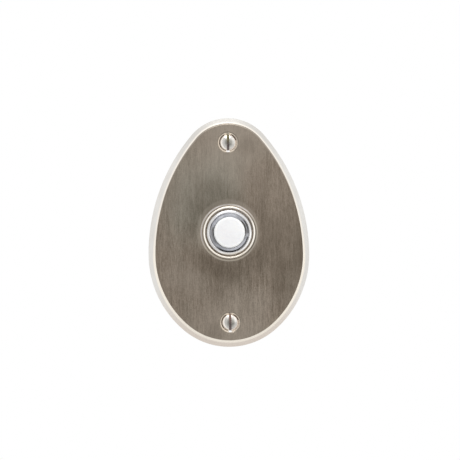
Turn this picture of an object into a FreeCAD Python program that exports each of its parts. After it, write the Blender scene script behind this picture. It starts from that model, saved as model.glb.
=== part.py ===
"""Egg-shaped doorbell push button: a cast plate with a lit push button in its middle, for screwing to a wall.

Frame, in millimetres: the wall is the plane Y = 0, the front of the plate looks along -Y, +Z is up and +X is to
the right of someone facing the plate. The origin is on the push button's axis, where it meets the wall, and it is
also halfway between the two mounting screws.

The push button is one turned barrel that drops into the plate from the front and is held by a nut from behind.
A clear bushing in its mouth guides the white cap. The cap rides on a hollow plunger, which a coil spring holds
out against the bushing. Pressed, the plunger lowers a brass ring on to two posts and closes the bell circuit.
A lamp stands inside the spring, and gets its current from the same two posts through a resistor.
"""
import FreeCAD, Part
import math
import os

from FreeCAD import Vector

# Cover plate: an egg of six tangent arcs, the small end up
plate_width = 63.5
plate_height = 90.2
widest_line_drop = 8.6      # how far the widest line lies below the button's axis
crown_join_angle = 40.7     # degrees round the flank's arc from the widest line up to where the crown's begins
foot_join_angle = 49.4      # the same, down to the foot's arc
plate_thickness = 6.35
bevel_width = 2.6           # the bevel is at 45 degrees, so this is its depth too
bevel_inner_round = 0.3
bevel_outer_round = 0.45
web_thickness = 3.0         # metal left over the hollow back
back_rim_width = 4.5
pocket_corner_round = 0.8
screw_boss_radius = 5.6
screw_edge_distance = 9.7   # from the plate's end to the screw's axis

# Raised collar round the push button, cast with the plate
collar_height = 1.5
recess_clearance = 0.5      # between the collar's inside and the button's flange
collar_wall = 0.95
collar_lip_round = 0.42
collar_cove_radius = 1.0
seat_depth = 1.6            # from the collar's lip down to the button's seat
barrel_hole_clearance = 0.16

# Mounting screws: slotted oval-head wood screws, countersunk into the plate
screw_hole_radius = 2.1
countersink_radius = 4.1
countersink_half_angle = 41.0
countersink_edge_break = 0.12
screw_head_radius = 3.25
screw_dome_height = 1.0
screw_head_clearance = 0.03
screw_slot_width = 0.85
screw_slot_depth = 1.25
screw_shank_radius = 1.5
screw_length = 25.4         # from the head's rim to the tip
thread_crest_radius = 1.75
thread_root_radius = 1.2
thread_pitch = 1.4
thread_crest_width = 0.2
thread_start = 0.2          # first crest, behind the wall's face
screw_point_length = 4.0
screw_tip_radius = 0.15

# Bezel and barrel: one turned shell, crimped over its base at the back
barrel_radius = 7.94        # a 5/8 in thread
barrel_wall = 0.94
flange_overhang = 0.96      # how much wider the flange is than the barrel
flange_thickness = 1.75
flange_outer_round = 0.7
flange_inner_round = 0.35
gasket_thickness = 0.4
barrel_end_round = 0.3
crimp_width = 0.65          # how far the rear lip reaches in over the base
crimp_thickness = 0.5

# Clear bushing that shows as a ring round the cap
halo_sleeve_wall = 0.78
halo_rim_width = 1.5
halo_recess = 0.4           # from the flange's top down to the bushing's face
halo_rim_thickness = 1.1
halo_sleeve_length = 4.0
halo_edge_round = 0.25
halo_fit = 0.02             # radial room between bushing and barrel

# White cap, plunger and contact ring, which move together
cap_proud = 1.65            # from the flange's top to the cap's crown
cap_dome_height = 0.3
cap_edge_round = 0.6
cap_wall = 0.95
cap_top_thickness = 1.1
cap_height = 4.15
cap_travel = 1.5
sliding_clearance = 0.1     # radial room between moving and fixed pieces
stop_gap = 0.05             # between the plunger's flange and the bushing that stops it
plunger_wall = 1.05
plunger_tube_gap = 0.05
plunger_flange_thickness = 1.1
plunger_edge_round = 0.15
contact_ring_inset = 0.3    # how much smaller the ring is than the plunger's flange
contact_ring_land = 0.3     # how far the ring reaches in past the spring's middle
contact_ring_thickness = 0.4

# Return spring
spring_wire_radius = 0.17
spring_lamp_gap = 0.38
spring_turns = 4.0

# Insulating base and the two contact posts
post_crimp_gap = 0.3        # between the barrel's crimped lip and the clamp washer on the post
post_spring_gap = 0.18
post_flange_overhang = 0.2
post_flange_thickness = 0.7
post_tip_step = 0.1         # how much smaller the tip is than the shank
post_tip_round = 0.35
post_height = 1.6           # above the base
post_shank_step = 0.5       # how much smaller the shank is than the clamp washer
post_hole_clearance = 0.05
post_thread_wall = 0.4      # metal left in the shank round its thread
post_thread_depth = 3.0
contact_gap = 0.04          # left between ring and posts at full travel
base_thickness = 2.4
base_shoulder = 0.25        # how much wider the base is than the barrel's bore
base_fit = 0.03

# Terminals on the back of the base
terminal_thickness = 0.5
terminal_side_step = 0.2    # how far the clamp washer overhangs the tongue's sides
terminal_end_step = 0.3     # and its outer end
tab_reach = 1.0             # the solder tab goes on from the tongue by this much
tab_length = 1.1            # along Z, from the tongue's corner
clamp_washer_share = 0.3    # of the way out from the axis to the crimped lip, less the gap there
clamp_washer_thickness = 0.4
terminal_head_step = 0.15   # how much smaller the head is than the clamp washer
terminal_head_thickness = 1.3
terminal_head_round = 0.45
terminal_slot_width = 0.6
terminal_slot_depth = 0.7
terminal_thread_clearance = 0.04

# Lamp, its two leads and the resistor
lamp_collar_overhang = 0.4
lamp_collar_thickness = 0.9
lamp_height = 5.3
lead_radius = 0.2
lead_bend_radius = 0.32
lead_hole_clearance = 0.05
resistor_radius = 0.7
resistor_share = 0.68       # of the way between the two leads that it joins
resistor_z = 3.3
resistor_cap_share = 0.2    # of its length, at each swollen end
resistor_waist = 0.1
solder_radius = 0.62
solder_overlap = 0.35       # length of lead inside each solder joint

# Nut and lock washer behind the plate
washer_thickness = 0.5
washer_width = 1.76
washer_tooth_length = 0.96
washer_teeth = 12
washer_notch_width = 2.4
nut_wall = 1.585            # at the middle of each flat; 19.05 mm across
nut_thickness = 2.3
nut_chamfer = 0.5
nut_fit = 0.04

# Levels along Y, worked out from the wall's face at 0; the front is on the negative side
y_face = -plate_thickness
y_lip = y_face - collar_height
y_seat = y_lip + seat_depth
y_web_back = y_face + web_thickness
y_flange_back = y_seat - gasket_thickness
y_flange_top = y_flange_back - flange_thickness
y_halo_top = y_flange_top + halo_recess
y_halo_shoulder = y_halo_top + halo_rim_thickness
y_halo_end = y_halo_shoulder + halo_sleeve_length
y_cap_crown = y_flange_top - cap_proud
y_cap_end = y_cap_crown + cap_height
y_plunger_flange = y_halo_end + stop_gap
y_plunger_end = y_plunger_flange + plunger_flange_thickness
y_ring_under = y_plunger_end + contact_ring_thickness
y_post_tip = y_ring_under + cap_travel + contact_gap
y_base_front = y_post_tip + post_height
y_base_back = y_base_front + base_thickness
y_barrel_end = y_base_back + crimp_thickness
y_terminal_back = y_base_back + terminal_thickness
y_clamp_back = y_terminal_back + clamp_washer_thickness
y_lead = y_base_back + resistor_radius
y_washer_back = y_web_back + washer_thickness
y_nut_back = y_washer_back + nut_thickness

flange_radius = barrel_radius + flange_overhang
recess_radius = flange_radius + recess_clearance
lip_round = min(collar_lip_round, 0.45 * collar_wall)
barrel_bore_radius = barrel_radius - barrel_wall
halo_bore_radius = barrel_bore_radius - halo_fit - halo_sleeve_wall
halo_radius = halo_bore_radius + halo_rim_width
cap_radius = halo_bore_radius - sliding_clearance
plunger_flange_radius = barrel_bore_radius - sliding_clearance
plunger_tube_radius = cap_radius - cap_wall - plunger_tube_gap
plunger_bore_radius = plunger_tube_radius - plunger_wall
base_bore_radius = barrel_bore_radius + base_shoulder
crimp_inner_radius = base_bore_radius - crimp_width
clamp_washer_radius = clamp_washer_share * (crimp_inner_radius - post_crimp_gap)
post_x = crimp_inner_radius - post_crimp_gap - clamp_washer_radius
post_shank_radius = clamp_washer_radius - post_shank_step
post_tip_radius = post_shank_radius - post_tip_step
post_thread_radius = post_shank_radius - post_thread_wall
post_flange_radius = post_shank_radius + post_flange_overhang
spring_mean_radius = post_x - post_flange_radius - post_spring_gap - spring_wire_radius
lamp_collar_radius = spring_mean_radius - spring_wire_radius - spring_lamp_gap
lamp_radius = lamp_collar_radius - lamp_collar_overhang
contact_ring_radius = plunger_flange_radius - contact_ring_inset
contact_ring_hole_radius = spring_mean_radius - contact_ring_land
terminal_head_radius = clamp_washer_radius - terminal_head_step
terminal_half_width = clamp_washer_radius - terminal_side_step
terminal_outer_reach = clamp_washer_radius - terminal_end_step
tongue_inner_x = post_x - clamp_washer_radius
lead_x = tongue_inner_x / 2
tab_x = tongue_inner_x - tab_reach / 2
tab_z = terminal_half_width - tab_length / 2
resistor_length = resistor_share * (tab_x + lead_x)
resistor_left = (tab_x - lead_x - resistor_length) / 2
washer_outer_radius = barrel_radius + washer_width
washer_tooth_root_radius = barrel_radius + washer_tooth_length
nut_flat_radius = barrel_radius + nut_wall
screw_z = plate_height / 2 - screw_edge_distance
AXIS_Y = Vector(0, 1, 0)
CUT_PAST = 1.0              # how far a cutting solid reaches past the face that it cuts


# Outlines and turned solids

def rounded_outline(corners):
    """Closed wire in the XY plane through corners (x, y) or (x, y, radius). A radius is cut down where two don't fit."""
    points = [Vector(c[0], c[1], 0) for c in corners]
    count = len(points)
    sides = [points[(i + 1) % count] - points[i] for i in range(count)]
    half_turns = [(-sides[i - 1]).getAngle(sides[i]) / 2 for i in range(count)]
    runs = [(c[2] if len(c) > 2 else 0.0) / math.tan(h) for c, h in zip(corners, half_turns)]
    shares = [min(1.0, sides[i].Length / max(runs[i] + runs[(i + 1) % count], 1e-9)) for i in range(count)]
    edges = []
    first = last = None
    for i, corner in enumerate(points):
        run = runs[i] * min(shares[i - 1], shares[i])
        onward = Vector(sides[i]).normalize()
        back = Vector(-sides[i - 1]).normalize()
        start = corner + back * run
        end = corner + onward * run
        if last and (start - last).Length > 1e-6:
            edges.append(Part.LineSegment(last, start).toShape())
        if run:
            to_middle = run * (1 - math.sin(half_turns[i])) / math.cos(half_turns[i])
            nearest = corner + (back + onward).normalize() * to_middle
            edges.append(Part.Arc(start, nearest, end).toShape())
        first = first or start
        last = end
    if (first - last).Length > 1e-6:
        edges.append(Part.LineSegment(last, first).toShape())
    return Part.Wire(edges)


def turned(corners, x=0.0, z=0.0):
    """Solid of revolution about a line along Y through (x, z). Corners are (radius, y) or (radius, y, rounding)."""
    solid = Part.Face(rounded_outline(corners)).revolve(Vector(0, 0, 0), AXIS_Y, 360)
    solid.translate(Vector(x, 0, z))
    return solid


def tube(inner, outer, y_start, y_end, x=0.0, z=0.0):
    """Plain ring between two radii and two levels."""
    return turned([(inner, y_start), (outer, y_start), (outer, y_end), (inner, y_end)], x, z)


def rod(radius, y_start, y_end, x=0.0, z=0.0):
    """Plain round bar along Y."""
    return Part.makeCylinder(radius, y_end - y_start, Vector(x, y_start, z), AXIS_Y)


def block(x_from, x_to, y_from, y_to, z_from, z_to):
    """Box between three pairs of levels."""
    return Part.makeBox(x_to - x_from, y_to - y_from, z_to - z_from, Vector(x_from, y_from, z_from))


def egg_outline(inset, y):
    """The plate's outline, moved inwards by inset, in the plane at y: a flank arc on each side of a crown and a foot."""
    def arc(centre_x, centre_z, radius, angles):
        reach = radius - inset
        on_arc = [Vector(centre_x + reach * math.cos(a), y, centre_z + reach * math.sin(a)) for a in angles]
        return Part.Arc(*on_arc).toShape()

    half_width = plate_width / 2
    edges = []
    for up, join_angle in ((1, crown_join_angle), (-1, foot_join_angle)):
        join = math.radians(join_angle)
        height = plate_height / 2 + up * widest_line_drop
        between_centres = (height - half_width) / (math.cos(join) + math.sin(join) - 1)
        flank_centre_x = -between_centres * math.cos(join)
        end_centre_z = between_centres * math.sin(join)
        angles = (0, up * join / 2, up * join)
        edges.append(arc(flank_centre_x, -widest_line_drop, half_width - flank_centre_x, angles))
        angles = [math.pi - a for a in angles]
        edges.append(arc(-flank_centre_x, -widest_line_drop, half_width - flank_centre_x, angles))
        angles = (up * join, up * math.pi / 2, math.pi - up * join)
        edges.append(arc(0, up * end_centre_z - widest_line_drop, height - end_centre_z, angles))
    return Part.Wire(Part.__sortEdges__(edges))


def edges_at(solid, y):
    """Edges of a solid that lie wholly in the plane at y."""
    return [e for e in solid.Edges if all(abs(v.Point.y - y) < 1e-6 for v in e.Vertexes)]


# Cover plate

def plate_blank():
    """Egg-shaped slab with its front edge bevelled and the bevel's two edges eased."""
    slab = Part.Face(egg_outline(0, 0)).extrude(Vector(0, y_face, 0))
    slab = slab.makeChamfer(bevel_width, edges_at(slab, y_face))
    slab = slab.makeFillet(bevel_inner_round, edges_at(slab, y_face))
    return slab.makeFillet(bevel_outer_round, edges_at(slab, y_face + bevel_width))


def collar_blank():
    """Disc that stands above the plate's face, with a cove at its foot and a rounded lip."""
    outside = recess_radius + collar_wall
    toe = outside + collar_cove_radius
    return turned([
        (0, y_lip),
        (outside, y_lip, lip_round),
        (outside, y_face, collar_cove_radius),
        (toe, y_face),
        (toe, y_face + web_thickness / 2),
        (0, y_face + web_thickness / 2),
    ])


def recess_cutter():
    """What is turned away inside the collar, down to the seat, with the lip's inner edge rounded."""
    mouth = recess_radius + 2 * lip_round
    return turned([
        (0, y_seat),
        (recess_radius, y_seat),
        (recess_radius, y_lip, lip_round),
        (mouth, y_lip),
        (mouth, y_lip - CUT_PAST),
        (0, y_lip - CUT_PAST),
    ])


def countersink_depth(radius):
    """Depth below the face at which the countersink has this radius."""
    return (countersink_radius - radius) / math.tan(math.radians(countersink_half_angle))


def screw_hole_cutter(z):
    """Clearance hole with its countersink and a small edge break at the face."""
    edge = countersink_radius + countersink_edge_break
    return turned([
        (0, y_face - CUT_PAST),
        (edge, y_face - CUT_PAST),
        (edge, y_face),
        (countersink_radius, y_face + countersink_edge_break),
        (screw_hole_radius, y_face + countersink_depth(screw_hole_radius) + countersink_edge_break),
        (screw_hole_radius, CUT_PAST),
        (0, CUT_PAST),
    ], z=z)


def back_pocket():
    """Hollow in the plate's back, which leaves a rim all round and a boss tied to the rim at each screw."""
    pocket = Part.Face(egg_outline(back_rim_width, CUT_PAST)).extrude(Vector(0, y_web_back - CUT_PAST, 0))
    pocket = pocket.makeFillet(pocket_corner_round, edges_at(pocket, y_web_back))
    for up in (1, -1):
        boss = rod(screw_boss_radius, y_web_back - CUT_PAST, 2 * CUT_PAST, z=up * screw_z)
        z_reach = sorted((up * screw_z, up * plate_height / 2))
        tie = block(-screw_boss_radius, screw_boss_radius, y_web_back - CUT_PAST, 2 * CUT_PAST, *z_reach)
        pocket = pocket.cut(boss.fuse(tie))
    return pocket


def cover_plate():
    """Plate, collar, seat, hollow back and holes, cast in one piece."""
    plate = plate_blank().fuse(collar_blank())
    plate = plate.cut(recess_cutter())
    plate = plate.cut(rod(barrel_radius + barrel_hole_clearance, y_lip, CUT_PAST))
    plate = plate.cut(back_pocket())
    for up in (1, -1):
        plate = plate.cut(screw_hole_cutter(up * screw_z))
    return plate.removeSplitter()


# Mounting screws

def screw_thread_corners(y_from, y_to):
    """Corners of the threaded length: one ridge a pitch, dying away towards the point."""
    y_taper = y_to - screw_point_length
    corners = []
    turns = int((y_to - y_from) / thread_pitch)
    flank = (thread_pitch - thread_crest_width) / 4
    for turn in range(turns):
        y = y_from + turn * thread_pitch
        left = max(0.0, min(1.0, (y_to - y) / (y_to - y_taper)))
        root = screw_tip_radius + (thread_root_radius - screw_tip_radius) * left
        crest = root + (thread_crest_radius - thread_root_radius) * left
        corners += [
            (crest, y),
            (crest, y + thread_crest_width),
            (root, y + thread_crest_width + flank),
            (root, y + thread_pitch - flank),
        ]
    return corners


def mounting_screw(up):
    """Oval-head wood screw: countersunk head, domed top with a slot, plain neck, thread and point."""
    sink = countersink_depth(screw_head_radius) + countersink_edge_break
    slack = screw_head_clearance / math.sin(math.radians(countersink_half_angle))
    y_rim = y_face + sink - slack
    y_crown = y_rim - screw_dome_height
    y_neck = y_rim + (screw_head_radius - screw_shank_radius) / math.tan(math.radians(countersink_half_angle))
    y_tip = y_rim + screw_length
    flank = (thread_pitch - thread_crest_width) / 4
    body = turned([
        (0, y_rim),
        (screw_head_radius, y_rim),
        (screw_shank_radius, y_neck),
        (screw_shank_radius, thread_start - 2 * flank),
        (thread_root_radius, thread_start - flank),
        *screw_thread_corners(thread_start, y_tip),
        (screw_tip_radius, y_tip),
        (0, y_tip),
    ], z=up * screw_z)
    dome_radius = (screw_head_radius**2 + screw_dome_height**2) / (2 * screw_dome_height)
    dome = Part.makeSphere(dome_radius, Vector(0, y_crown + dome_radius, up * screw_z))
    dome = dome.common(rod(screw_head_radius, y_crown - CUT_PAST, y_rim, z=up * screw_z))
    half_slot = screw_slot_width / 2
    slot = block(-half_slot, half_slot, y_crown - CUT_PAST, y_crown + screw_slot_depth,
                 up * screw_z - 2 * screw_head_radius, up * screw_z + 2 * screw_head_radius)
    return body.fuse(dome).removeSplitter().cut(slot)


# Bezel, barrel and what holds them

def bezel_barrel():
    """Turned shell: rounded flange, seat for the bushing, bore, and the rear lip crimped over the base."""
    halo_seat_radius = halo_radius + halo_fit
    return turned([
        (halo_seat_radius, y_flange_top, flange_inner_round),
        (flange_radius, y_flange_top, flange_outer_round),
        (flange_radius, y_flange_back),
        (barrel_radius, y_flange_back),
        (barrel_radius, y_barrel_end, barrel_end_round),
        (crimp_inner_radius, y_barrel_end),
        (crimp_inner_radius, y_base_back),
        (base_bore_radius, y_base_back),
        (base_bore_radius, y_base_front),
        (barrel_bore_radius, y_base_front),
        (barrel_bore_radius, y_halo_shoulder),
        (halo_seat_radius, y_halo_shoulder),
    ])


def bezel_gasket():
    """Flat rubber washer between the flange and its seat."""
    return tube(barrel_radius + barrel_hole_clearance, flange_radius, y_flange_back, y_seat)


def lock_washer():
    """Internal-tooth washer: a thin ring with notches cut out between its teeth."""
    ring = tube(barrel_radius + nut_fit, washer_outer_radius, y_web_back, y_washer_back)
    half = washer_notch_width / 2
    for tooth in range(washer_teeth):
        notch = block(0, washer_tooth_root_radius, y_web_back - CUT_PAST, y_washer_back + CUT_PAST, -half, half)
        notch.rotate(Vector(0, 0, 0), AXIS_Y, 360.0 * tooth / washer_teeth)
        ring = ring.cut(notch)
    return ring


def jam_nut():
    """Thin hexagon nut with both faces chamfered at the corners."""
    corner_radius = nut_flat_radius / math.cos(math.pi / 6)
    corners = [Vector(corner_radius * math.cos(math.radians(60 * k)), y_washer_back,
                      corner_radius * math.sin(math.radians(60 * k))) for k in range(7)]
    prism = Part.Face(Part.makePolygon(corners)).extrude(Vector(0, nut_thickness, 0))
    envelope = turned([
        (0, y_washer_back),
        (nut_flat_radius, y_washer_back),
        (corner_radius, y_washer_back + nut_chamfer),
        (corner_radius, y_nut_back - nut_chamfer),
        (nut_flat_radius, y_nut_back),
        (0, y_nut_back),
    ])
    bore = rod(barrel_radius + nut_fit, y_washer_back - CUT_PAST, y_nut_back + CUT_PAST)
    return prism.common(envelope).cut(bore)


# What the finger sees and presses

def halo_ring():
    """Clear bushing: a rim that rests in the barrel's mouth and a sleeve that guides the cap and stops the plunger."""
    return turned([
        (halo_bore_radius, y_halo_top, halo_edge_round),
        (halo_radius, y_halo_top, halo_edge_round),
        (halo_radius, y_halo_shoulder),
        (barrel_bore_radius - halo_fit, y_halo_shoulder),
        (barrel_bore_radius - halo_fit, y_halo_end),
        (halo_bore_radius, y_halo_end),
    ])


def push_cap():
    """White cup with a slightly domed top and a rounded edge."""
    y_edge = y_cap_crown + cap_dome_height
    dome_radius = (cap_radius**2 + cap_dome_height**2) / (2 * cap_dome_height)
    cap = rod(cap_radius, y_edge, y_cap_end)
    dome = Part.makeSphere(dome_radius, Vector(0, y_cap_crown + dome_radius, 0))
    dome = dome.common(rod(cap_radius, y_cap_crown - CUT_PAST, y_edge))
    cap = cap.fuse(dome).removeSplitter()
    cap = cap.makeFillet(cap_edge_round, edges_at(cap, y_edge))
    return cap.cut(rod(cap_radius - cap_wall, y_cap_crown + cap_top_thickness, y_cap_end + CUT_PAST))


def plunger():
    """Hollow plunger: a tube inside the cap, a shoulder under the cap's skirt and a flange at the foot."""
    return turned([
        (plunger_bore_radius, y_cap_crown + cap_top_thickness + plunger_tube_gap),
        (plunger_tube_radius, y_cap_crown + cap_top_thickness + plunger_tube_gap, plunger_edge_round),
        (plunger_tube_radius, y_cap_end),
        (cap_radius, y_cap_end),
        (cap_radius, y_plunger_flange),
        (plunger_flange_radius, y_plunger_flange, plunger_edge_round),
        (plunger_flange_radius, y_plunger_end, plunger_edge_round),
        (plunger_bore_radius, y_plunger_end),
    ])


def contact_ring():
    """Brass ring that the spring holds against the plunger's foot."""
    return tube(contact_ring_hole_radius, contact_ring_radius, y_plunger_end, y_ring_under)


def return_spring():
    """Open coil spring between the contact ring and the base, ground flat at both ends."""
    length = y_base_front - y_ring_under
    pitch = length / spring_turns
    coil = Part.makeHelix(pitch, length, spring_mean_radius)
    section = Part.Wire(Part.makeCircle(spring_wire_radius, Vector(spring_mean_radius, 0, 0), Vector(0, 1, 0)))
    wire = Part.Wire(coil.Edges).makePipeShell([section], True, True)
    wire.rotate(Vector(0, 0, 0), Vector(1, 0, 0), -90)
    wire.translate(Vector(0, y_ring_under, 0))
    return wire.common(rod(2 * spring_mean_radius, y_ring_under, y_base_front))


# Electrical parts

def insulating_base():
    """Moulded disc that closes the barrel, with holes for the two posts and the two lamp leads."""
    base = rod(base_bore_radius - base_fit, y_base_front, y_base_back)
    holes = [(side * post_x, post_shank_radius + post_hole_clearance) for side in (1, -1)]
    holes += [(side * lead_x, lead_radius + lead_hole_clearance) for side in (1, -1)]
    for x, radius in holes:
        base = base.cut(rod(radius, y_base_front - CUT_PAST, y_base_back + CUT_PAST, x=x))
    return base


def contact_post(side):
    """Riveted post: rounded contact tip, flange on the base, shank through it, tapped from behind."""
    y_flange = y_base_front - post_flange_thickness
    y_thread_floor = y_terminal_back - post_thread_depth
    return turned([
        (0, y_post_tip),
        (post_tip_radius, y_post_tip, post_tip_round),
        (post_tip_radius, y_flange),
        (post_flange_radius, y_flange),
        (post_flange_radius, y_base_front),
        (post_shank_radius, y_base_front),
        (post_shank_radius, y_terminal_back),
        (post_thread_radius, y_terminal_back),
        (post_thread_radius, y_thread_floor),
        (0, y_thread_floor),
    ], x=side * post_x)


def terminal_plate(side):
    """Flat brass tongue on the back of the base, with a solder tab at one inner corner."""
    tongue = block(tongue_inner_x, post_x + terminal_outer_reach, y_base_back, y_terminal_back,
                   -terminal_half_width, terminal_half_width)
    tab = block(tongue_inner_x - tab_reach, tongue_inner_x, y_base_back, y_terminal_back,
                terminal_half_width - tab_length, terminal_half_width)
    plate = tongue.fuse(tab).removeSplitter()
    plate = plate.cut(rod(post_shank_radius + post_hole_clearance, y_base_back - CUT_PAST,
                          y_terminal_back + CUT_PAST, x=post_x))
    if side < 0:
        plate.rotate(Vector(0, 0, 0), AXIS_Y, 180)
    return plate


def clamp_washer(side):
    """Washer under a terminal screw's head, which holds the bell wire."""
    return tube(post_thread_radius + terminal_thread_clearance, clamp_washer_radius, y_terminal_back, y_clamp_back,
                x=side * post_x)


def terminal_screw(side):
    """Slotted binding-head screw that clamps one bell wire."""
    y_head_top = y_clamp_back + terminal_head_thickness
    thread_radius = post_thread_radius - terminal_thread_clearance
    screw = turned([
        (0, y_head_top),
        (terminal_head_radius, y_head_top, terminal_head_round),
        (terminal_head_radius, y_clamp_back),
        (thread_radius, y_clamp_back),
        (thread_radius, y_terminal_back - post_thread_depth + post_hole_clearance),
        (0, y_terminal_back - post_thread_depth + post_hole_clearance),
    ], x=side * post_x)
    half_slot = terminal_slot_width / 2
    slot = block(side * post_x - 2 * terminal_head_radius, side * post_x + 2 * terminal_head_radius,
                 y_head_top - terminal_slot_depth, y_head_top + CUT_PAST, -half_slot, half_slot)
    return screw.cut(slot)


def lamp():
    """Round-nosed lamp with a collar, standing on the base inside the spring."""
    y_top = y_base_front - lamp_height
    return turned([
        (0, y_top),
        (lamp_radius, y_top, lamp_radius),
        (lamp_radius, y_base_front - lamp_collar_thickness),
        (lamp_collar_radius, y_base_front - lamp_collar_thickness),
        (lamp_collar_radius, y_base_front),
        (0, y_base_front),
    ])


def bent_lead(points):
    """Round wire along straight runs joined by small tangent bends."""
    edges = []
    start = points[0]
    shortest = min(one.distanceToPoint(next_one) for one, next_one in zip(points, points[1:]))
    bend = min(lead_bend_radius, shortest / 2)
    for before, corner, after in zip(points, points[1:], points[2:]):
        back = (before - corner).normalize()
        onward = (after - corner).normalize()
        entry = corner + back * bend
        leave = corner + onward * bend
        centre = entry + onward * bend
        nearest = centre + (corner - centre).normalize() * bend
        edges.append(Part.LineSegment(start, entry).toShape())
        edges.append(Part.Arc(entry, nearest, leave).toShape())
        start = leave
    edges.append(Part.LineSegment(start, points[-1]).toShape())
    section = Part.Wire(Part.makeCircle(lead_radius, points[0], points[1] - points[0]))
    return Part.Wire(edges).makePipeShell([section], True, True)


def led_lead_left():
    """From the lamp through the base, up and across to the resistor."""
    return bent_lead([
        Vector(-lead_x, y_base_front, 0),
        Vector(-lead_x, y_lead, 0),
        Vector(-lead_x, y_lead, resistor_z),
        Vector(resistor_left, y_lead, resistor_z),
    ])


def led_lead_right():
    """From the lamp through the base, down and across to the left terminal's tab."""
    return bent_lead([
        Vector(lead_x, y_base_front, 0),
        Vector(lead_x, y_lead, 0),
        Vector(lead_x, y_lead, -tab_z),
        Vector(-tab_x - solder_overlap, y_lead, -tab_z),
    ])


def resistor_lead():
    """From the resistor across and down to the right terminal's tab."""
    return bent_lead([
        Vector(resistor_left + resistor_length, y_lead, resistor_z),
        Vector(tab_x, y_lead, resistor_z),
        Vector(tab_x, y_lead, tab_z - solder_overlap),
    ])


def resistor():
    """Small lacquered resistor with swollen ends, lying along X."""
    cap = resistor_cap_share * resistor_length
    far_cap = resistor_length - cap
    thin = resistor_radius - resistor_waist
    body = turned([
        (0, 0),
        (resistor_radius, 0, cap / 2),
        (resistor_radius, cap, resistor_waist),
        (thin, cap + resistor_waist, resistor_waist),
        (thin, far_cap - resistor_waist, resistor_waist),
        (resistor_radius, far_cap, resistor_waist),
        (resistor_radius, resistor_length, cap / 2),
        (0, resistor_length),
    ])
    body.rotate(Vector(0, 0, 0), Vector(0, 0, 1), -90)
    body.translate(Vector(resistor_left, y_lead, resistor_z))
    return body


def solder_joint(side, lead):
    """Drop of solder on a terminal's tab, round the end of a lead."""
    centre = Vector(side * tab_x, y_terminal_back, side * tab_z)
    drop = Part.makeSphere(solder_radius, centre)
    reach = solder_radius + CUT_PAST
    behind = block(centre.x - reach, centre.x + reach, y_terminal_back, y_terminal_back + reach,
                   centre.z - reach, centre.z + reach)
    return drop.common(behind).cut(lead)


# Every node, by name

nodes = {
    "cover_plate": cover_plate(),
    "mounting_screw_top": mounting_screw(1),
    "mounting_screw_bottom": mounting_screw(-1),
    "bezel_barrel": bezel_barrel(),
    "bezel_gasket": bezel_gasket(),
    "lock_washer": lock_washer(),
    "jam_nut": jam_nut(),
    "halo_ring": halo_ring(),
    "push_cap": push_cap(),
    "plunger": plunger(),
    "contact_ring": contact_ring(),
    "return_spring": return_spring(),
    "insulating_base": insulating_base(),
    "led_lamp": lamp(),
    "led_lead_left": led_lead_left(),
    "led_lead_right": led_lead_right(),
    "resistor": resistor(),
    "resistor_lead": resistor_lead(),
}
for side, name in ((-1, "left"), (1, "right")):
    nodes["contact_post_" + name] = contact_post(side)
    nodes["terminal_plate_" + name] = terminal_plate(side)
    nodes["clamp_washer_" + name] = clamp_washer(side)
    nodes["terminal_screw_" + name] = terminal_screw(side)
nodes["solder_joint_left"] = solder_joint(-1, nodes["led_lead_right"])
nodes["solder_joint_right"] = solder_joint(1, nodes["resistor_lead"])

os.makedirs("parts", exist_ok=True)
for name, shape in nodes.items():
    if not shape.isValid() or not shape.Solids or shape.Volume <= 0:
        raise SystemExit(f"{name} is not a sound solid")
    shape.exportStep(f"parts/{name}.step")
print(f"{len(nodes)} nodes")
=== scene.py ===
"""Egg-shaped doorbell push button: the looks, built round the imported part.

The pieces come in the order in which the button is put together. Sizes are in millimetres in the part's own frame:
the wall is y = 0, the front looks along -y, and z is up. A piece is scaled to metres when it is finished.
"""
import math

import bmesh
import bpy
from bmesh.types import BMFace, BMVert
from mathutils import Matrix, Vector


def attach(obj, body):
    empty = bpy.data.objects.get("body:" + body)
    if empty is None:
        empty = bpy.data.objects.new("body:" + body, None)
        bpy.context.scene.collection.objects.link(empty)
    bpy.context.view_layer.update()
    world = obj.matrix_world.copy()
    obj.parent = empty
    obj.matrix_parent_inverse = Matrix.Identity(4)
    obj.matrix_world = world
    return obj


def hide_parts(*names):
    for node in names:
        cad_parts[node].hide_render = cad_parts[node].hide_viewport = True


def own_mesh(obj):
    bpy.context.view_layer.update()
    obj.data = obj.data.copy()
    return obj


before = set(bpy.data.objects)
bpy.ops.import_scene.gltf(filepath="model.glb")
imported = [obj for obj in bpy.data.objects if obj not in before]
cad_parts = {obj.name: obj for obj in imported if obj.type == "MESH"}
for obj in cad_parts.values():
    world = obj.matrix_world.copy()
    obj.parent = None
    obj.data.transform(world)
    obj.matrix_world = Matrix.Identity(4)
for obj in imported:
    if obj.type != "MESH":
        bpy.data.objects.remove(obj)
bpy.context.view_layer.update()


# Cover plate: the egg-shaped casting that carries everything else, in a warm grey white metal. Its face is brushed
# upright and painted darker than the bevel as painted reflection, with painted light and shade over it. The bevel,
# collar and countersinks are polished bright, with painted highlights, reflections and shade, and the back is as
# cast.

plate_width, plate_height = 63.5, 90.2
widest_line = -8.6
crown_join, foot_join = math.radians(40.7), math.radians(49.4)
y_face, y_lip, y_seat, y_web_back = -6.35, -7.85, -6.25, -3.35
plate_bevel = 2.6
bevel_outer_run, bevel_inner_run = 0.19, 0.12
back_rim_width, pocket_round, boss_radius = 4.5, 0.8, 5.6
collar_inside, collar_outside, lip_run, collar_cove = 9.4, 10.35, 0.42, 1.0
barrel_hole = 8.1
screw_z = 35.4
countersink, countersink_break, screw_hole, countersink_half_angle = 4.1, 0.12, 2.1, math.radians(41)
countersink_depth = (countersink - screw_hole) / math.tan(countersink_half_angle) + countersink_break
WELD = 1e-4  # vertices closer than this become one
SHARP = math.radians(38)  # an edge that turns by more than this is shaded sharp


def only(kind, parts):
    """Those of these vertices, edges and faces that are of one kind."""
    return [part for part in parts if isinstance(part, kind)]


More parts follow.
